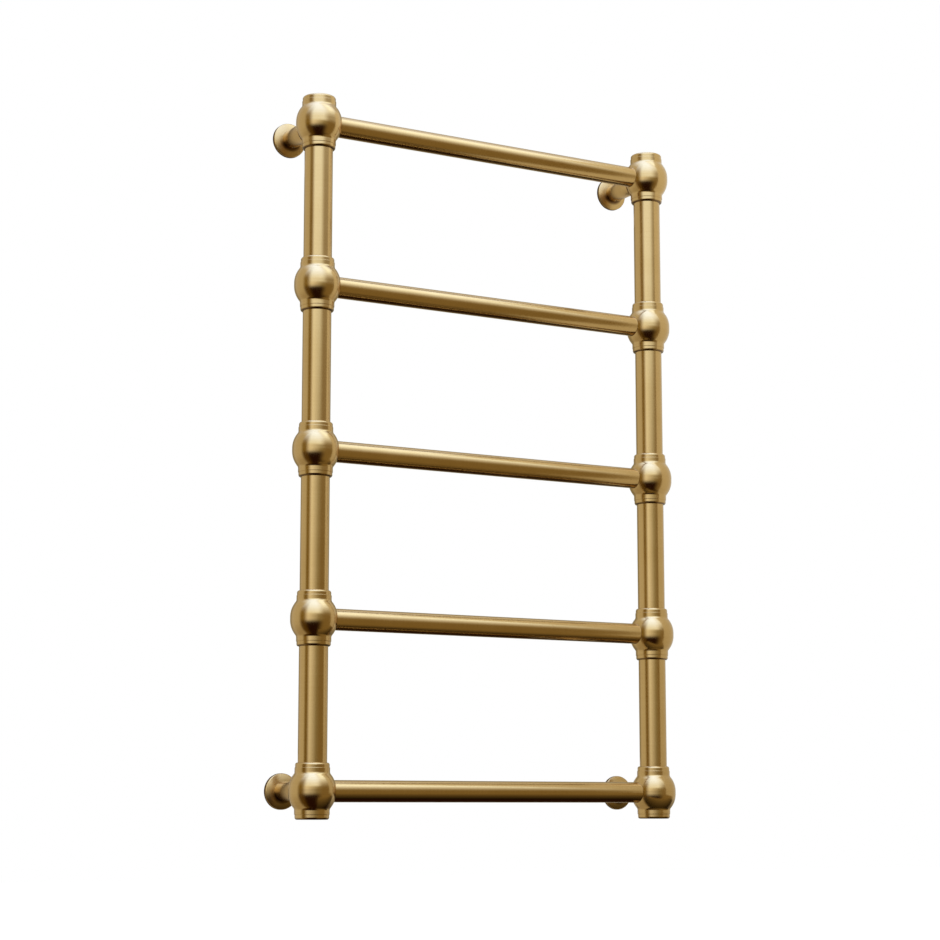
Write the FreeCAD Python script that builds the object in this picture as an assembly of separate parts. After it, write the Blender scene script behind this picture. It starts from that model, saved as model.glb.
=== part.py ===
import FreeCAD, Part
import math
import os

from FreeCAD import Vector

# Heated towel rail: two uprights and a ladder of rungs joined by ball fittings, held off the wall by
# four stays. Millimetres. X to the right, Y into the wall, Z up. The wall is the plane Y = 0, and the
# origin lies on it at the middle of the four wall fixings.

# Whole rail
overall_height = 965.0
overall_width = 600.0
wall_to_uprights = 94.0
rung_count = 5

# Tubes, soldered into the ball fittings
upright_diameter = 38.1
upright_wall = 1.5
rung_diameter = 28.6
rung_wall = 1.2
solder_gap = 0.1

# Ball fittings: two half balls with a short straight band between, and collars that step in a little
# before their rounded ends
ball_diameter = 62.0
ball_band = 4.0
neck_fillet = 5.0
neck_step = 0.6
collar_reach = 36.5
collar_wall = 3.3
collar_edge = 2.9
collar_step = 6.2
seat_bridge = 3.2
seat_ledge = 4.5
rung_seat_wall = 4.0
rung_port_ledge = 2.2

# Tappings in the outer ends of the corner balls, at the core diameter of a half-inch pipe thread
tapping_diameter = 18.63
tapping_chamfer = 1.3
thread_gap = 0.1

# Plugs in the top tappings, on soft washers
plug_head_diameter = 31.0
plug_head_height = 4.0
plug_shank_length = 12.0
plug_head_gap = 0.15
washer_thickness = 1.5
hex_key_size = 10.0
hex_key_depth = 6.0

# Air vent screw in the left-hand plug
vent_screw_diameter = 5.0
vent_screw_gap = 0.05
vent_square = 5.0
vent_pocket_diameter = 11.0
vent_pocket_depth = 3.6
vent_head_inset = 0.2
vent_head_gap = 0.3
vent_passage_diameter = 2.0
vent_seat_inset = 3.0
vent_seat_gap = 0.1

# Wall stays, screwed to the balls with studs
stay_diameter = 26.0
stud_diameter = 10.0
stud_in_ball = 8.0
stud_in_stay = 11.0
stud_end_gap = 0.5
stud_wall = 3.5

# Wall plates with a hollow spigot inside each stay, locked by a grub screw from below
plate_diameter = 34.0
plate_thickness = 3.0
wall_screw_hole = 6.5
spigot_diameter = 20.0
spigot_bore = 13.0
spigot_length = 22.0
spigot_gap = 0.1
spigot_end_gap = 2.0
grub_diameter = 5.0
grub_inset = 13.5
grub_recess = 0.5
grub_key_size = 2.5
grub_key_depth = 2.0
grub_groove_depth = 0.5
grub_groove_width = 6.5
grub_gap = 0.05

# Roses that slide along the stays, each domed to a radius and gripped by a soft ring in its bore
rose_diameter = 48.0
rose_thickness = 8.0
rose_dome = 65.0
rose_edge = 2.0
rose_slide_gap = 0.08
rose_plate_gap = 0.5
ring_width = 1.6
ring_height = 1.4
ring_inset = 1.2
ring_gap = 0.05
ring_slide_gap = 0.04

# Worked out from the sizes above
upright_radius = upright_diameter / 2
rung_radius = rung_diameter / 2
ball_radius = ball_diameter / 2
collar_radius = upright_radius + collar_wall
neck_radius = collar_radius + neck_step
neck_turn = math.acos((neck_radius + neck_fillet) / (ball_radius + neck_fillet))
tapping_radius = tapping_diameter / 2
stay_radius = stay_diameter / 2
stud_radius = stud_diameter / 2
spigot_radius = spigot_diameter / 2
upright_spacing = overall_width - ball_diameter
rung_pitch = (overall_height - 2 * collar_reach) / (rung_count - 1)
upright_seat = rung_radius + seat_bridge
waterway_radius = upright_radius - upright_wall - seat_ledge
rung_seat = waterway_radius + rung_seat_wall
stay_seat = waterway_radius + stud_wall + stud_end_gap + stud_in_ball
plug_head_radius = plug_head_diameter / 2
plug_under_head = collar_reach - plug_head_height
plug_foot = plug_under_head - plug_shank_length
washer_seat = plug_under_head - washer_thickness
stay_end = wall_to_uprights - stay_seat
grub_place = plate_thickness + grub_inset
rose_bore = stay_radius + rose_slide_gap
rose_hollow_depth = plate_thickness + rose_plate_gap
ring_seat = rose_hollow_depth + ring_inset

up = Vector(0, 0, 1)
sides = {"left": -1, "right": 1}
levels = range(1, rung_count + 1)
corners = {
    "bottom_left": (-1, 1),
    "bottom_right": (1, 1),
    "top_left": (-1, rung_count),
    "top_right": (1, rung_count),
}


def place(side, level):
    """Centre of the ball on this side (-1 or 1) at this rung, counted from the lowest."""
    height = (level - (rung_count + 1) / 2) * rung_pitch
    return Vector(side * upright_spacing / 2, -wall_to_uprights, height)


def rod(radius, low, high, axis=up):
    """Round bar along an axis through the origin, from one distance along it to another."""
    return Part.makeCylinder(radius, high - low, axis * low, axis)


def pipe(outer_radius, wall, low, high, axis=up):
    return rod(outer_radius, low, high, axis).cut(rod(outer_radius - wall, low, high, axis))


def line(start, end):
    return Part.LineSegment(Vector(0, *start), Vector(0, *end)).toShape()


def arc(start, middle, end):
    """Arc through three points, each a radius and a height."""
    return Part.Arc(*[Vector(0, *point) for point in (start, middle, end)]).toShape()


def turned(edges):
    """Solid turned about Z from the edges of a closed half profile."""
    outline = Part.Wire(Part.sortEdges(edges)[0])
    return Part.Face(outline).revolve(Vector(), up, 360)


def turned_from_points(points):
    return turned([line(a, b) for a, b in zip(points, points[1:] + points[:1])])


def polar(centre, radius, angle):
    """Point at an angle about a centre, in radians from the radial direction."""
    return centre[0] + radius * math.cos(angle), centre[1] + radius * math.sin(angle)


def corner_arc(centre, radius, first, last):
    """Arc about a centre, from one angle to another."""
    return arc(*[polar(centre, radius, angle) for angle in (first, (first + last) / 2, last)])


def upper_edges():
    """Edges of the upper half of a ball fitting, from its axis along the collar and down the half ball."""
    quarter = math.pi / 2
    half_ball_centre = (0, ball_band / 2)
    fillet_centre = polar(half_ball_centre, ball_radius + neck_fillet, neck_turn)
    edge_centre = (collar_radius - collar_edge, collar_reach - collar_edge)
    step = collar_reach - collar_step
    step_centre = (collar_radius, step - neck_step)
    return [
        line((0, collar_reach), (edge_centre[0], collar_reach)),
        corner_arc(edge_centre, collar_edge, quarter, 0),
        line((collar_radius, edge_centre[1]), (collar_radius, step)),
        corner_arc(step_centre, neck_step, quarter, 0),
        line((neck_radius, step_centre[1]), (neck_radius, fillet_centre[1])),
        corner_arc(fillet_centre, neck_fillet, math.pi, math.pi + neck_turn),
        corner_arc(half_ball_centre, ball_radius, neck_turn, 0),
    ]


def ball_outline():
    """Ball with a collar above and below, before it is bored."""
    upper = upper_edges()
    lower = [edge.mirror(Vector(), up) for edge in upper]
    band = line((ball_radius, ball_band / 2), (ball_radius, -ball_band / 2))
    axis = line((0, -collar_reach), (0, collar_reach))
    return turned([*upper, band, *lower, axis])


def socket_cut():
    """Room for the end of an upright tube, down to its seat."""
    return rod(upright_radius + solder_gap, upright_seat, collar_reach)


def tapping_cut():
    """Tapped hole from the collar's end into the waterway, with a chamfered mouth."""
    mouth_radius = tapping_radius + tapping_chamfer
    mouth_low = up * (collar_reach - tapping_chamfer)
    mouth = Part.makeCone(tapping_radius, mouth_radius, tapping_chamfer, mouth_low, up)
    return rod(tapping_radius, 0, collar_reach).fuse(mouth)


def plug_cut():
    """Tapped hole with a counterbore that lets the plug's head lie flush."""
    counterbore = rod(plug_head_radius + plug_head_gap, washer_seat, collar_reach)
    return rod(tapping_radius, 0, collar_reach).fuse(counterbore)


def upside_down(shape):
    return shape.rotated(Vector(), Vector(1, 0, 0), 180)


def ball_fitting(side, level):
    """Ball with a collar above and below, a rung socket and, at the corners, a stay seat."""
    is_lowest = level == 1
    is_highest = level == rung_count
    inward = Vector(-side, 0, 0)
    into_wall = Vector(0, 1, 0)
    cuts = [
        rod(waterway_radius, -upright_seat, upright_seat),
        rod(rung_radius + solder_gap, rung_seat, ball_diameter, inward),
        rod(rung_radius - rung_wall - rung_port_ledge, 0, rung_seat, inward),
        plug_cut() if is_highest else socket_cut(),
        upside_down(tapping_cut() if is_lowest else socket_cut()),
    ]
    if is_lowest or is_highest:
        cuts.append(rod(stay_radius + solder_gap, stay_seat, ball_diameter, into_wall))
        cuts.append(rod(stud_radius, stay_seat - stud_in_ball - stud_end_gap, stay_seat, into_wall))
    return ball_outline().cut(cuts).translated(place(side, level))


def upright_tube(side, level):
    """Tube between the ball at this level and the next one up."""
    length = rung_pitch - 2 * upright_seat
    tube = pipe(upright_radius, upright_wall, 0, length)
    return tube.translated(place(side, level) + up * upright_seat)


def rung_tube(level):
    reach = upright_spacing / 2 - rung_seat
    tube = pipe(rung_radius, rung_wall, -reach, reach, Vector(1, 0, 0))
    return tube.translated(Vector(0, -wall_to_uprights, place(1, level).z))


def on_wall(shape, corner):
    """Moves a piece made on the Z axis, with the wall at Z = 0, to one of the four wall fixings."""
    side, level = corners[corner]
    centre = place(side, level)
    return shape.rotated(Vector(), Vector(1, 0, 0), 90).translated(Vector(centre.x, 0, centre.z))


down_on_wall = Vector(0, -1, 0)


def wall_stay():
    bar = rod(stay_radius, plate_thickness, stay_end)
    cuts = [
        rod(spigot_radius + spigot_gap, plate_thickness, plate_thickness + spigot_length + spigot_end_gap),
        rod(stud_radius, stay_end - stud_in_stay - stud_end_gap, stay_end),
        rod(grub_diameter / 2, 0, stay_diameter, down_on_wall).translated(up * grub_place),
    ]
    return bar.cut(cuts)


def stay_stud():
    return rod(stud_radius - thread_gap, stay_end - stud_in_stay, stay_end + stud_in_ball)


def hex_bar(size, low, high):
    """Six-sided bar on the Z axis, by its size across flats."""
    corner_radius = size / math.sqrt(3)
    angles = [math.radians(60 * i) for i in range(7)]
    rim = [Vector(corner_radius * math.cos(a), corner_radius * math.sin(a), low) for a in angles]
    return Part.Face(Part.makePolygon(rim)).extrude(up * (high - low))


def grub_screw():
    """Screw that grips the groove in the spigot, with a hexagon socket in its outer end."""
    low = spigot_radius - grub_groove_depth + grub_gap
    high = stay_radius - grub_recess
    keyway = hex_bar(grub_key_size, high - grub_key_depth, high)
    screw = rod(grub_diameter / 2 - grub_gap, low, high).cut(keyway)
    return screw.rotated(Vector(), Vector(1, 0, 0), 90).translated(up * grub_place)


def wall_plate():
    """Disc on the wall with a hollow spigot that takes the wall screw's head and carries the stay."""
    spigot_end = plate_thickness + spigot_length
    groove_radius = spigot_radius - grub_groove_depth
    profile = [
        (wall_screw_hole / 2, 0),
        (plate_diameter / 2, 0),
        (plate_diameter / 2, plate_thickness),
        (spigot_radius, plate_thickness),
        (spigot_radius, grub_place - grub_groove_width / 2),
        (groove_radius, grub_place - grub_groove_width / 2),
        (groove_radius, grub_place + grub_groove_width / 2),
        (spigot_radius, grub_place + grub_groove_width / 2),
        (spigot_radius, spigot_end),
        (spigot_bore / 2, spigot_end),
        (spigot_bore / 2, plate_thickness),
        (wall_screw_hole / 2, plate_thickness),
    ]
    return turned_from_points(profile)


def wall_rose():
    """Domed cover, hollow at the back over the wall plate, with a groove for its grip ring."""
    outer = rose_diameter / 2
    hollow = plate_diameter / 2 + rose_plate_gap
    groove_high = ring_seat + ring_width + 2 * ring_gap
    groove_radius = rose_bore + ring_height + ring_gap
    bore_turn = math.acos(rose_bore / rose_dome)
    edge_turn = math.acos((outer - rose_edge) / (rose_dome - rose_edge))
    dome_centre = (0, rose_thickness - rose_dome * math.sin(bore_turn))
    edge_centre = polar(dome_centre, rose_dome - rose_edge, edge_turn)
    inside = [
        (rose_bore, rose_thickness),
        (rose_bore, groove_high),
        (groove_radius, groove_high),
        (groove_radius, ring_seat),
        (rose_bore, ring_seat),
        (rose_bore, rose_hollow_depth),
        (hollow, rose_hollow_depth),
        (hollow, 0),
        (outer, 0),
        (outer, edge_centre[1]),
    ]
    edges = [line(a, b) for a, b in zip(inside, inside[1:])]
    edges.append(corner_arc(edge_centre, rose_edge, 0, edge_turn))
    edges.append(corner_arc(dome_centre, rose_dome, edge_turn, bore_turn))
    return turned(edges)


def grip_ring():
    low = ring_seat + ring_gap
    inner_radius = stay_radius + ring_slide_gap
    outer_radius = rose_bore + ring_height
    return pipe(outer_radius, outer_radius - inner_radius, low, low + ring_width)


def plug_body():
    head = rod(plug_head_radius, plug_under_head, collar_reach)
    shank = rod(tapping_radius - thread_gap, plug_foot, plug_under_head)
    return head.fuse(shank).removeSplitter()


def vent_plug():
    """Plug with a pocket for the vent key, a bore for the vent screw and a conical seat below it."""
    bore = vent_screw_diameter / 2 + vent_screw_gap
    passage = vent_passage_diameter / 2
    seat_low = plug_foot + vent_seat_inset
    seat_high = seat_low + bore - passage
    pocket_floor = collar_reach - vent_pocket_depth
    profile = [
        (0, plug_foot),
        (passage, plug_foot),
        (passage, seat_low),
        (bore, seat_high),
        (bore, pocket_floor),
        (vent_pocket_diameter / 2, pocket_floor),
        (vent_pocket_diameter / 2, collar_reach),
        (0, collar_reach),
    ]
    return plug_body().cut(turned_from_points(profile))


def vent_screw():
    """Screw with a square head for a vent key and a conical tip that closes the passage in the plug."""
    radius = vent_screw_diameter / 2
    tip = vent_passage_diameter / 2
    tip_low = plug_foot + vent_seat_inset + vent_seat_gap
    tip_high = tip_low + radius - tip
    head_low = collar_reach - vent_pocket_depth + vent_head_gap
    head_high = collar_reach - vent_head_inset
    profile = [
        (0, tip_low),
        (tip, tip_low),
        (radius, tip_high),
        (radius, head_low),
        (0, head_low),
    ]
    corner = Vector(-vent_square / 2, -vent_square / 2, head_low)
    head = Part.makeBox(vent_square, vent_square, head_high - head_low, corner)
    return turned_from_points(profile).fuse(head).removeSplitter()


def blank_plug():
    """Plug with a hexagon socket."""
    return plug_body().cut(hex_bar(hex_key_size, collar_reach - hex_key_depth, collar_reach))


def plug_washer():
    wall = plug_head_radius - tapping_radius
    return pipe(plug_head_radius, wall, washer_seat, plug_under_head)


def all_pieces():
    """Every piece of the rail by name; a name in the plural is a group of separate solids."""
    pieces = {}
    for side_name, side in sides.items():
        for level in levels:
            pieces[f"{side_name}_ball_{level}"] = ball_fitting(side, level)
            if level < rung_count:
                pieces[f"{side_name}_upright_{level}"] = upright_tube(side, level)
    for level in levels:
        pieces[f"rung_{level}"] = rung_tube(level)
    for corner in corners:
        pieces[f"{corner}_stay"] = on_wall(wall_stay(), corner)
        pieces[f"{corner}_wall_plate"] = on_wall(wall_plate(), corner)
        pieces[f"{corner}_rose"] = on_wall(wall_rose(), corner)
        pieces[f"{corner}_grip_ring"] = on_wall(grip_ring(), corner)
    pieces["stay_studs"] = Part.makeCompound([on_wall(stay_stud(), corner) for corner in corners])
    pieces["stay_grub_screws"] = Part.makeCompound([on_wall(grub_screw(), corner) for corner in corners])
    top_left = place(-1, rung_count)
    top_right = place(1, rung_count)
    pieces["vent_plug"] = vent_plug().translated(top_left)
    pieces["vent_screw"] = vent_screw().translated(top_left)
    pieces["blank_plug"] = blank_plug().translated(top_right)
    pieces["plug_washers"] = Part.makeCompound([plug_washer().translated(p) for p in (top_left, top_right)])
    return pieces


os.makedirs("parts", exist_ok=True)
for name, shape in all_pieces().items():
    shape.exportStep(f"parts/{name}.step")
    print(name, len(shape.Solids), shape.isValid(), round(shape.Volume, 1))
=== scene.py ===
import math

import bmesh
import bpy
from mathutils import Euler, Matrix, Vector


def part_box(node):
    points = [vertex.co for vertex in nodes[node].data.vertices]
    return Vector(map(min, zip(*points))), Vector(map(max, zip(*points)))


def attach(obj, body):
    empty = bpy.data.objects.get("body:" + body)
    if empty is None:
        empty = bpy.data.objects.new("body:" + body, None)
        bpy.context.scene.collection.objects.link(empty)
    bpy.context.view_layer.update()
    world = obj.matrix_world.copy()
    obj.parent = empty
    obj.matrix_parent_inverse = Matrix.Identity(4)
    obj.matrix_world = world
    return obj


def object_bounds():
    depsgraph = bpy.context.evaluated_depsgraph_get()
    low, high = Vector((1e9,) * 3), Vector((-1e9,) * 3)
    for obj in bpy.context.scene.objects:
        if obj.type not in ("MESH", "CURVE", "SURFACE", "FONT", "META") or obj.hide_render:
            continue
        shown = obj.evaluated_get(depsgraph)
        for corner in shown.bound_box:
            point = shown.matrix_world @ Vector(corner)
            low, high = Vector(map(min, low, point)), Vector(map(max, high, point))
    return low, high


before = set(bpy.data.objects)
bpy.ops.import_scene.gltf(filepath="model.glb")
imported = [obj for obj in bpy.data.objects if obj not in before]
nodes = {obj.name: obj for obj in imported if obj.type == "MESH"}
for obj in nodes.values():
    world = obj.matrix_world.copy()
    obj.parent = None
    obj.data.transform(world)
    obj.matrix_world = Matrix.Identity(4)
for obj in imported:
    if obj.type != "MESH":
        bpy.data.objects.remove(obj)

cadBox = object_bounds()


# one socket; Python maths on it adds Math nodes
class Wire:
    def __init__(self, paint, socket):
        self.paint = paint
        self.socket = socket

    def __add__(self, other):
        return self.paint.maths("ADD", self, other)

    def __radd__(self, other):
        return self.paint.maths("ADD", other, self)

    def __sub__(self, other):
        return self.paint.maths("SUBTRACT", self, other)

    def __rsub__(self, other):
        return self.paint.maths("SUBTRACT", other, self)

    def __mul__(self, other):
        return self.paint.maths("MULTIPLY", self, other)

    def __rmul__(self, other):
        return self.paint.maths("MULTIPLY", other, self)

    def __pow__(self, other):
        return self.paint.maths("POWER", self, other)

    def __abs__(self):
        return self.paint.maths("ABSOLUTE", self)


# the node tree of one material, or of the world
class Paint:
    def __init__(self, tree):
        self.tree = tree
        tree.nodes.clear()

    def node(self, kind, settings=None, inputs=None, out=0):
        made = self.tree.nodes.new(kind)
        for key, value in (settings or {}).items():
            setattr(made, key, value)
        for key, value in (inputs or {}).items():
            if isinstance(value, Wire):
                self.tree.links.new(value.socket, made.inputs[key])
            elif made.inputs[key].type == "RGBA" and len(value) == 3:
                made.inputs[key].default_value = (*value, 1.0)
            else:
                made.inputs[key].default_value = value
        return Wire(self, made.outputs[out]) if made.outputs else made

    def maths(self, operation, first, second=0.0):
        return self.node("ShaderNodeMath", {"operation": operation}, {0: first, 1: second})

    def place(self):
        return self.node("ShaderNodeTexCoord", out="Object")

    def split(self, vector):
        parts = self.node("ShaderNodeSeparateXYZ", None, {0: vector}).socket.node
        return [Wire(self, output) for output in parts.outputs]

    def joined(self, x, y, z):
        return self.node("ShaderNodeCombineXYZ", None, {0: x, 1: y, 2: z})

    def noise(self, vector, scale, detail=2.0, roughness=0.5):
        values = {"Vector": vector, "Scale": scale, "Detail": detail, "Roughness": roughness}
        return self.node("ShaderNodeTexNoise", None, values)

    def blend(self, factor, first, second):
        return self.node("ShaderNodeMix", {"data_type": "RGBA"}, {0: factor, 6: first, 7: second}, 2)

    def limited(self, value, low, high):  # value from low to high becomes 0 to 1
        return self.node("ShaderNodeMapRange", None, {0: value, 1: low, 2: high})

    def eased(self, value, low, high):  # the same with soft ends
        settings = {"interpolation_type": "SMOOTHSTEP"}
        return self.node("ShaderNodeMapRange", settings, {0: value, 1: low, 2: high})

    def bump(self, height, strength, distance):
        values = {"Height": height, "Strength": strength, "Distance": distance}
        return self.node("ShaderNodeBump", None, values)

    def principled(self, values):
        shader = self.node("ShaderNodeBsdfPrincipled", None, values)
        self.surface(shader)

    def glow(self, colour):
        self.surface(self.node("ShaderNodeEmission", None, {"Color": colour, "Strength": 1.0}))

    def surface(self, shader):
        self.node("ShaderNodeOutputMaterial", None, {"Surface": shader})


def newMaterial(name):
    material = bpy.data.materials.new(name)
    material.use_nodes = True
    return material, Paint(material.node_tree)


def giveFinish(material, names):
    for name in names:
        nodes[name].data.materials.clear()
        nodes[name].data.materials.append(material)


def matching(*endings):
    return [name for name in nodes if name.rstrip("0123456789_").endswith(endings)]


def meshOf(name, form):
    mesh = bpy.data.meshes.new(name)
    form.to_mesh(mesh)
    form.free()
    return mesh


def newPiece(name, mesh, material):
    mesh.materials.append(material)
    piece = bpy.data.objects.new(name, mesh)
    bpy.context.scene.collection.objects.link(piece)
    return piece


# where the turned pieces have their axes, read from the frame
def middle(name):
    low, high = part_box(name)
    return (low + high) / 2


topRung = middle("rung_5")
upright = middle("right_upright_1")
axes = {
    "uprightX": upright.x,
    "uprightY": upright.y,
    "stayZ": topRung.z,
    "pitch": topRung.z - middle("rung_4").z,
}


# distance from the axis a piece is turned about, and place along it; both sides share one axis by symmetry
def turnedPlace(paint, axis):
    x, y, z = paint.split(paint.place())
    if axis == "x":
        return abs(y - axes["uprightY"]), x
    across = abs(x) - axes["uprightX"]
    if axis == "y":
        up, along = abs(z) - axes["stayZ"], y
    else:
        up, along = y - axes["uprightY"], z
    return (across * across + up * up) ** 0.5, along


# satin brass: turned lines round the piece's axis under clear lacquer, with painted shade in seams, under
# collar lips and round the stays
satinBrass = {
    "colour": (0.60, 0.40, 0.150),
    "paleColour": (0.65, 0.445, 0.180),
    "darkColour": (0.53, 0.340, 0.115),
    "evenness": 0.5,                # share of the plain colour over the pale and dark streaks
    "lineScale": 5200.0,            # turned lines per metre, about
    "lineHeight": 0.000012,
    "lineStrength": 0.22,
    "streakScale": 676.0,
    "cloudScale": 26.0,
    "cloudShare": 0.55,             # the rest of the tone is streaks
    "toneRange": (0.30, 0.70),
    "wander": 0.0006,               # how far the lines stray, in metres
    "roughness": 0.19,
    "lineRoughness": 0.06,
    "cloudRoughness": 0.05,
    "seamRoughness": 0.15,
    "turnedGloss": 0.3,             # stretch of the gloss on uprights, balls and plugs
    "lacquer": 0.18,
    "lacquerRoughness": 0.12,
    # colour of the painted shade in the seams, under the collar lips and round the stays
    "paintedShade": (0.10, 0.045, 0.012),
    "creaseShade": 0.75,                   # painted shade in the seams and creases, from ambient occlusion
    "seamReach": 0.0018,
    "seamShade": (0.35, 0.95),
    "seamRadius": (0.0235, 0.026),  # none further out than the collars
    "lip": 0.85,                    # painted shade under the lower lips of the collars
    "lipSlopes": (0.10, 0.70),
    "lipPlace": (0.0325, 0.0345),   # distance from the middle of the ball
    "corner": 0.0,                  # painted shadow where a rose meets its stay, on its lower side
    "cornerRadius": (0.0135, 0.0185),
    "cornerSlopes": (-0.06, 0.16),
}


def satinBrassFinish(name, axis, look=satinBrass):
    material, paint = newMaterial(name)
    radius, along = turnedPlace(paint, axis)
    cloud = paint.noise(paint.place(), look["cloudScale"], detail=3.0)
    wander = (cloud - 0.5) * look["wander"]
    turned = paint.joined(radius + wander, along + wander, 0.0)
    lines = paint.noise(turned, look["lineScale"], detail=3.0, roughness=0.65)
    streaks = paint.noise(turned, look["streakScale"])
    tone = cloud * look["cloudShare"] + streaks * (1 - look["cloudShare"])
    colour = paint.blend(paint.limited(tone, *look["toneRange"]), look["darkColour"], look["paleColour"])
    colour = paint.blend(look["evenness"], colour, look["colour"])
    # painted shade in creases and seams, from ambient occlusion, out to the collars
    bare = paint.node("ShaderNodeAmbientOcclusion", {"samples": 6}, {"Distance": look["seamReach"]}, "AO")
    creaseShade = paint.limited(1 - bare, *look["seamShade"]) * (1 - paint.eased(radius, *look["seamRadius"]))
    colour = paint.blend(creaseShade * look["creaseShade"], colour, look["paintedShade"])
    facingUp = paint.split(paint.node("ShaderNodeNewGeometry", out="Normal"))[2]
    # painted shade on the down-facing lower lips of the collars
    if axis == "z":
        level = paint.maths("PINGPONG", along, axes["pitch"] / 2)
        lip = paint.eased(0 - facingUp, *look["lipSlopes"]) * paint.limited(level, *look["lipPlace"])
        colour = paint.blend(lip * look["lip"], colour, look["paintedShade"])
    else:
        # painted shadow on the lower side of each rose, round its stay
        corner = 1 - paint.eased(radius, *look["cornerRadius"])
        corner = corner * paint.eased(0 - facingUp, *look["cornerSlopes"])
        colour = paint.blend(corner * look["corner"], colour, look["paintedShade"])
    rough = look["roughness"] + (lines - 0.5) * look["lineRoughness"]
    rough = rough + (cloud - 0.5) * look["cloudRoughness"] + creaseShade * look["seamRoughness"]
    paint.principled({
        "Base Color": colour,
        "Metallic": 1.0,
        "Roughness": rough,
        "Normal": paint.bump(lines, look["lineStrength"], look["lineHeight"]),
        "Anisotropic": look["turnedGloss"] if axis == "z" else 0.0,
        "Coat Weight": look["lacquer"],
        "Coat Roughness": look["lacquerRoughness"],
    })
    return material


# zinc-plated steel of the wall plates, studs and grub screws
zincSteel = {
    "colour": (0.56, 0.57, 0.58),
    "warmColour": (0.60, 0.57, 0.50),
    "cloudScale": 36.0,
    "cloudRange": (0.35, 0.65),
    "roughness": 0.34,
    "spangleScale": 240.0,
    "spangleRoughness": 0.2,
    "spangleStrength": 0.3,
    "spangleHeight": 0.00002,
}


def zincSteelFinish(name, look=zincSteel):
    material, paint = newMaterial(name)
    spangle = paint.noise(paint.place(), look["spangleScale"], detail=4.0, roughness=0.6)
    cloud = paint.limited(paint.noise(paint.place(), look["cloudScale"]), *look["cloudRange"])
    paint.principled({
        "Base Color": paint.blend(cloud, look["colour"], look["warmColour"]),
        "Metallic": 1.0,
        "Roughness": look["roughness"] + (spangle - 0.5) * look["spangleRoughness"],
        "Normal": paint.bump(spangle, look["spangleStrength"], look["spangleHeight"]),
    })
    return material


# moulded black rubber of the grip rings and plug washers
blackRubber = {
    "colour": (0.018, 0.018, 0.019),
    "dustColour": (0.045, 0.043, 0.040),
    "dustRange": (0.45, 0.75),
    "roughness": 0.62,
    "grainScale": 900.0,
    "grainRoughness": 0.15,
    "grainStrength": 0.4,
    "grainHeight": 0.00004,
}


def blackRubberFinish(name, look=blackRubber):
    material, paint = newMaterial(name)
    grain = paint.noise(paint.place(), look["grainScale"], detail=3.0)
    dust = paint.limited(grain, *look["dustRange"])
    paint.principled({
        "Base Color": paint.blend(dust, look["colour"], look["dustColour"]),
        "Roughness": look["roughness"] + (grain - 0.5) * look["grainRoughness"],
        "Normal": paint.bump(grain, look["grainStrength"], look["grainHeight"]),
    })
    return material


# stays without the painted crease shade; roses with the painted shadow round their stays
stayLook = dict(satinBrass, creaseShade=0.0)
roseLook = dict(satinBrass, creaseShade=0.0, corner=0.95, roughness=0.28)
giveFinish(satinBrassFinish("satinBrassUprights", "z"), matching("upright"))
giveFinish(satinBrassFinish("satinBrassRungs", "x"), matching("rung"))
giveFinish(satinBrassFinish("satinBrassBalls", "z"), matching("ball"))
stayBrass = satinBrassFinish("satinBrassStays", "y", stayLook)
giveFinish(stayBrass, matching("stay"))
giveFinish(satinBrassFinish("satinBrassRoses", "y", roseLook), matching("rose"))
giveFinish(satinBrassFinish("satinBrassPlugs", "z"), ["vent_plug", "blank_plug", "vent_screw"])
giveFinish(zincSteelFinish("zincSteel"), matching("wall_plate", "stay_studs", "stay_grub_screws"))
giveFinish(blackRubberFinish("blackRubber"), matching("grip_ring", "plug_washers"))
print("finishes:", len(bpy.data.materials))


# the foot of each stay, flared to sit on its ball
stayFoot = {
    "flare": 0.008,             # radius of the hollow flare
    "root": 0.0004,             # how far it is sunk in the stay
    "steps": 8,
    "around": 72,
    "sharpAngle": 40,
}


def addStayFoot(name, look=stayFoot):
    low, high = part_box(name)
    stayRadius = (high.z - low.z) / 2
    ball = Vector((middle(name).x, axes["uprightY"], middle(name).z))
    ballLow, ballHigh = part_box("left_ball_3")
    ballRadius = (ballHigh.y - ballLow.y) / 2
    flare = look["flare"]
    hub = stayRadius + flare    # the flare's centre from the axis of the stay
    reach = math.sqrt((ballRadius + flare) ** 2 - hub ** 2)     # and from the middle of the ball
    sweep = math.atan2(reach, hub)
    profile = []
    for step in range(look["steps"] + 1):
        angle = math.pi + sweep * step / look["steps"]
        profile.append((hub + flare * math.cos(angle), reach + flare * math.sin(angle)))
    sunk = stayRadius - look["root"]
    profile += [(sunk, profile[-1][1]), (sunk, reach)]
    form = bmesh.new()
    rounds = []
    for turn in range(look["around"]):
        angle = math.tau * turn / look["around"]
        side = Vector((math.cos(angle), 0, math.sin(angle)))
        spots = [ball + side * out + Vector((0, along, 0)) for out, along in profile]
        rounds.append([form.verts.new(spot) for spot in spots])
    for here, after in zip(rounds, rounds[1:] + rounds[:1]):
        for corner in range(len(profile)):
            ahead = (corner + 1) % len(profile)
            form.faces.new((here[corner], here[ahead], after[ahead], after[corner]))
    bmesh.ops.recalc_face_normals(form, faces=form.faces)
    mesh = meshOf(name + "_foot", form)
    mesh.shade_smooth()
    mesh.set_sharp_from_angle(angle=math.radians(look["sharpAngle"]))
    piece = newPiece(name + "_foot", mesh, stayBrass)
    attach(piece, "rail_frame")


for name in matching("stay"):
    addStayFoot(name)
print("stay feet:", len(matching("stay")))


# the studio: white round about for the camera; for the metal to mirror, a painted tent, two cards and a
# ring of wall round each rose
studio = {
    "floorDrop": 0.32,          # floor below the rail
    "floorSize": 14.0,
    "floorColour": (0.86, 0.86, 0.86),
    "floorGlow": 0.55,
    "worldForDiffuse": 0.8,
}


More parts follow.
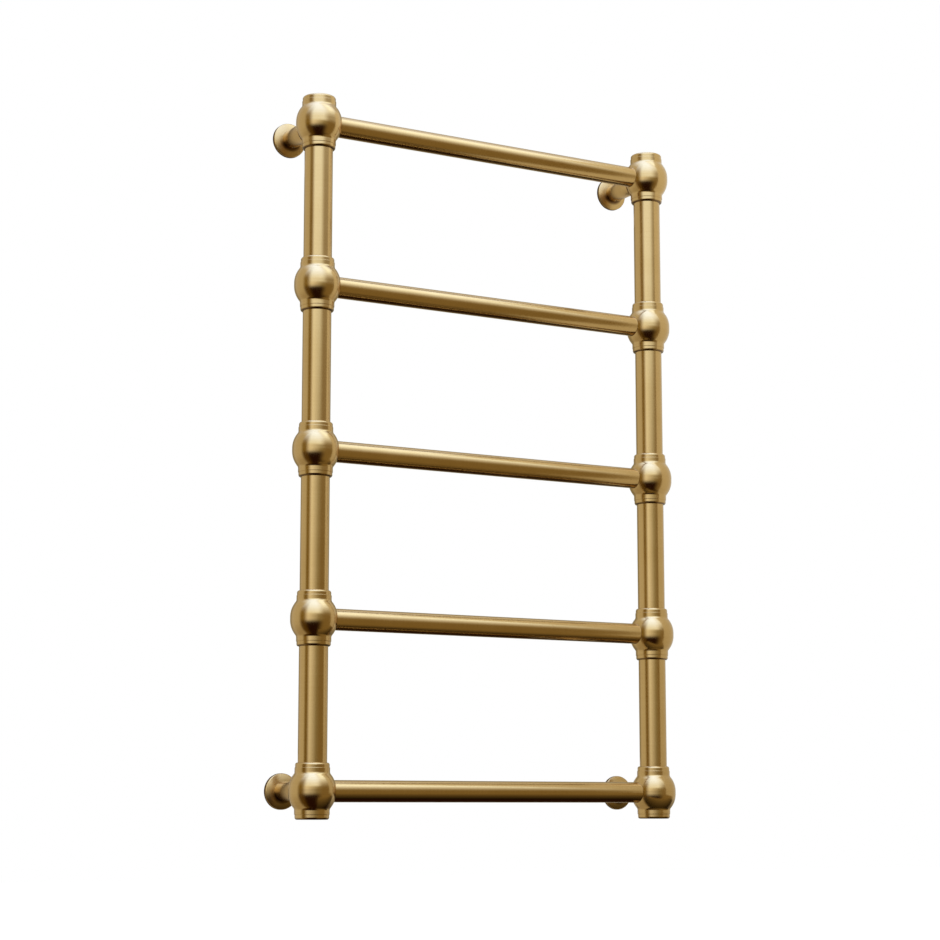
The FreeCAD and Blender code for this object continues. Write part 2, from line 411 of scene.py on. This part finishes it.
def stagePiece(name, mesh, material):
    piece = newPiece(name, mesh, material)
    return piece


def onlyMirrored(piece):
    piece.visible_camera = False
    piece.visible_diffuse = False
    piece.visible_shadow = False
    piece.visible_transmission = False


# angles in degrees: turn from straight ahead of the rail towards its left, lift from the horizon
tent = {
    "radius": 9.0,
    "facets": (64, 32),
    "window": (1.24, 1.37, 1.46),
    "ceiling": (1.70, 2.36, 4.80),
    "ceilingRight": (1.46, 1.80, 2.90),
    "ceilingLifts": (-4, 72),
    "ceilingTurns": (-35, 15),
    "sill": (1.18, 1.24, 1.38),
    "sillRight": (0.40, 0.36, 0.235),
    "sillLifts": (-19, 4, 7, 17),
    "sillTurns": (4, 54),
    "pane": (1.85, 2.35, 3.60),     # a second, smaller window to the right
    "paneLifts": (26, 52),
    "paneTurns": (-80, -60, -42, -26),
    "ground": (0.022, 0.007, 0.002),
    "brown": (0.29, 0.215, 0.095),  # the wall right of the window
    "brownLifts": (-62, -38, 3, 52),
    "brownTurns": (-28, 10),
    "strip": (0.28, 0.195, 0.035),  # the frame left of the window
    "stripLow": (0.12, 0.07, 0.012),
    "stripLifts": (-15, 5, 12, 85),
    "stripTurns": (53, 78),
    "cloth": (0.70, 0.68, 0.62),    # both sides and behind
    "clothLow": (0.50, 0.45, 0.36),
    "clothLowAcross": (-0.25, 0.25),
    "clothLifts": (-45, 0, 45, 85),
    "clothTurns": (-95, -70, 88, 105),
    "back": (0.36, 0.32, 0.20),
    "backTurn": -155,
    "backSpread": (0.60, 0.85),
}


def tentCloth(look=tent):
    material, paint = newMaterial("tentCloth")
    facing = paint.node("ShaderNodeVectorMath", {"operation": "NORMALIZE"}, {0: paint.place()})
    x, y, z = paint.split(facing)
    turn = paint.maths("ARCTAN2", 0 - x, 0 - y) * math.degrees(1)
    lift = paint.maths("ARCSINE", z) * math.degrees(1)
    above = paint.blend(paint.eased(turn, *look["ceilingTurns"]), look["ceilingRight"], look["ceiling"])
    pane = paint.eased(turn, *look["paneTurns"][:2]) * (1 - paint.eased(turn, *look["paneTurns"][2:]))
    above = paint.blend(pane * paint.eased(lift, *look["paneLifts"]), above, look["pane"])
    light = paint.blend(paint.eased(lift, *look["ceilingLifts"]), look["window"], above)

    def banded(low, mid, lifts):  # low below the first two lifts, mid up to the next two, light above
        lower = paint.blend(paint.eased(lift, *lifts[:2]), low, mid)
        return paint.blend(paint.eased(lift, *lifts[2:]), lower, light)

    sill = paint.blend(paint.limited(turn, *look["sillTurns"]), look["sillRight"], look["sill"])
    window = banded(look["ground"], sill, look["sillLifts"])
    wall = banded(look["ground"], look["brown"], look["brownLifts"])
    strip = banded(look["stripLow"], look["strip"], look["stripLifts"])
    lowCloth = paint.blend(paint.eased(x, *look["clothLowAcross"]), look["clothLow"], look["ground"])
    behind = math.radians(look["backTurn"])
    back = paint.eased(x * -math.sin(behind) - y * math.cos(behind), *look["backSpread"])
    cloth = banded(lowCloth, paint.blend(back, look["cloth"], look["back"]), look["clothLifts"])
    right, left = look["clothTurns"][:2], look["clothTurns"][2:]
    colour = paint.blend(paint.eased(turn, *look["brownTurns"]), wall, window)
    colour = paint.blend(paint.eased(turn, *look["stripTurns"]), colour, strip)
    colour = paint.blend(paint.eased(turn, *left), colour, cloth)
    colour = paint.blend(paint.eased(turn, *right), cloth, colour)
    paint.glow(colour)
    return material


def addTent(look=tent):
    around, up = look["facets"]
    form = bmesh.new()
    bmesh.ops.create_uvsphere(form, u_segments=around, v_segments=up, radius=look["radius"])
    onlyMirrored(stagePiece("tent", meshOf("tent", form), tentCloth()))


addTent()

# centre, width and height, turn about Z, tilt about X (90 stands upright), glow at the foot and at the top
cards = {
    "rightWall": {
        "centre": (0.51, -0.20, 0.26),
        "size": (0.61, 1.48),
        "turn": 90,
        "tilt": 90,
        "foot": (0.60, 0.56, 0.47),
        "top": (0.95, 0.95, 0.92),
    },
    # painted shade under the rail: a dark sheet that only the metal mirrors
    "underneath": {
        "centre": (0.30, -0.28, -0.60),
        "size": (1.10, 0.34),
        "turn": 0,
        "tilt": 0,
        "foot": (0.29, 0.215, 0.095),
        "top": (0.004, 0.001, 0.0),
    },
}


def cardFinish(name, card):
    material, paint = newMaterial(name)
    height = paint.split(paint.place())[1]
    half = card["size"][1] / 2
    paint.glow(paint.blend(paint.limited(height, -half, half), card["foot"], card["top"]))
    return material


def flatMesh(name, corners, faces):
    mesh = bpy.data.meshes.new(name)
    mesh.from_pydata(corners, [], faces)
    return mesh


def rectangle(name, width, height):
    x, y = width / 2, height / 2
    return flatMesh(name, [(-x, -y, 0), (x, -y, 0), (x, y, 0), (-x, y, 0)], [(0, 1, 2, 3)])


def ring(name, inner, outer, steps):
    turns = [math.tau * step / steps for step in range(steps)]
    corners = [(math.cos(turn) * out, math.sin(turn) * out, 0) for out in (inner, outer) for turn in turns]
    pairs = [(step, (step + 1) % steps) for step in range(steps)]
    return flatMesh(name, corners, [(here, after, steps + after, steps + here) for here, after in pairs])


for name, card in cards.items():
    piece = stagePiece(name, rectangle(name, *card["size"]), cardFinish(name, card))
    piece.location = card["centre"]
    piece.rotation_euler = Euler((math.radians(card["tilt"]), 0, math.radians(card["turn"])))
    onlyMirrored(piece)

# the wall close round each rose, dark where the rose shades it
roseShade = {
    "size": (0.0242, 0.050),    # radii of the ring of wall
    "steps": 48,
    "behind": 0.0005,
    "reach": (0.024, 0.038),    # dark and pale this far from the middle of the rose
    "dark": (0.05, 0.025, 0.008),
    "pale": (0.62, 0.58, 0.50),
}


def roseShadeFinish(look=roseShade):
    material, paint = newMaterial("roseShade")
    x, y = paint.split(paint.place())[:2]
    away = (x * x + y * y) ** 0.5
    paint.glow(paint.blend(paint.eased(away, *look["reach"]), look["dark"], look["pale"]))
    return material


shadeFinish = roseShadeFinish()
for name in matching("rose"):
    shade = name + "Shade"
    piece = stagePiece(shade, ring(shade, *roseShade["size"], roseShade["steps"]), shadeFinish)
    piece.location = middle(name)
    piece.location.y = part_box(name)[1].y + roseShade["behind"]
    piece.rotation_euler.x = math.radians(90)
    onlyMirrored(piece)


def floorFinish(look=studio):
    material, paint = newMaterial("paleFloor")
    glow = paint.node("ShaderNodeLightPath", out="Is Camera Ray") * look["floorGlow"]
    matt = paint.node("ShaderNodeBsdfDiffuse", None, {"Color": look["floorColour"]})
    light = paint.node("ShaderNodeEmission", None, {"Color": (1, 1, 1), "Strength": glow})
    paint.surface(paint.node("ShaderNodeAddShader", None, {0: matt, 1: light}))
    return material


floor = stagePiece("floor", rectangle("floor", studio["floorSize"], studio["floorSize"]), floorFinish())
floor.location.z = cadBox[0].z - studio["floorDrop"]
floor.visible_glossy = False


def worldLight(look=studio):
    world = bpy.data.worlds.new("studio")
    bpy.context.scene.world = world
    world.use_nodes = True
    paint = Paint(world.node_tree)
    path = paint.node("ShaderNodeLightPath").socket.node
    straight, mirrored, through = [
        Wire(paint, path.outputs[key]) for key in ("Is Camera Ray", "Is Glossy Ray", "Is Transmission Ray")
    ]
    white = paint.limited(straight + mirrored + through, 0.0, 1.0)
    strength = white + (1 - white) * look["worldForDiffuse"]
    light = paint.node("ShaderNodeBackground", None, {"Color": (1, 1, 1), "Strength": strength})
    paint.node("ShaderNodeOutputWorld", None, {"Surface": light})


worldLight()

lamps = {
    "overhead": {"place": (-0.2, -0.6, 1.9), "aim": (0.0, -0.3, 0.0), "size": (3.2, 2.2), "radiance": 1.9},
    "frontLeft": {"place": (-2.1, -2.3, 0.9), "aim": (0.0, -0.1, 0.3), "size": (1.8, 2.6), "radiance": 0.6},
}


def addLamp(name, lamp):
    light = bpy.data.lights.new(name, "AREA")
    light.shape = "RECTANGLE"
    light.size, light.size_y = lamp["size"]
    light.energy = lamp["radiance"] * math.pi * light.size * light.size_y
    holder = bpy.data.objects.new(name, light)
    bpy.context.scene.collection.objects.link(holder)
    holder.location = lamp["place"]
    towards = Vector(lamp["aim"]) - Vector(lamp["place"])
    holder.rotation_euler = towards.to_track_quat("-Z", "Y").to_euler()
    holder.visible_camera = False
    holder.visible_glossy = False


for name, lamp in lamps.items():
    addLamp(name, lamp)
print("studio: tent,", len(cards), "cards,", len(matching("rose")), "rings of wall and", len(lamps), "lamps")

# camera, fitted to the balls and roses in the photograph
view = {
    "place": (-1.5743, -2.7015, -0.4663),
    "yaw": 30.60,               # from +Y towards +X
    "pitch": 8.59,
    "lens": 85.44,
    "sensor": 36.0,
}
eye = bpy.data.cameras.new("eye")
eye.lens = view["lens"]
eye.sensor_width = view["sensor"]
camera = bpy.data.objects.new("eye", eye)
bpy.context.scene.collection.objects.link(camera)
camera.location = view["place"]
camera.rotation_euler = Euler((math.radians(90 + view["pitch"]), 0, math.radians(-view["yaw"])))
bpy.context.scene.camera = camera
bpy.context.scene.view_settings.view_transform = "Standard"
print("camera:", [round(v, 3) for v in camera.location])
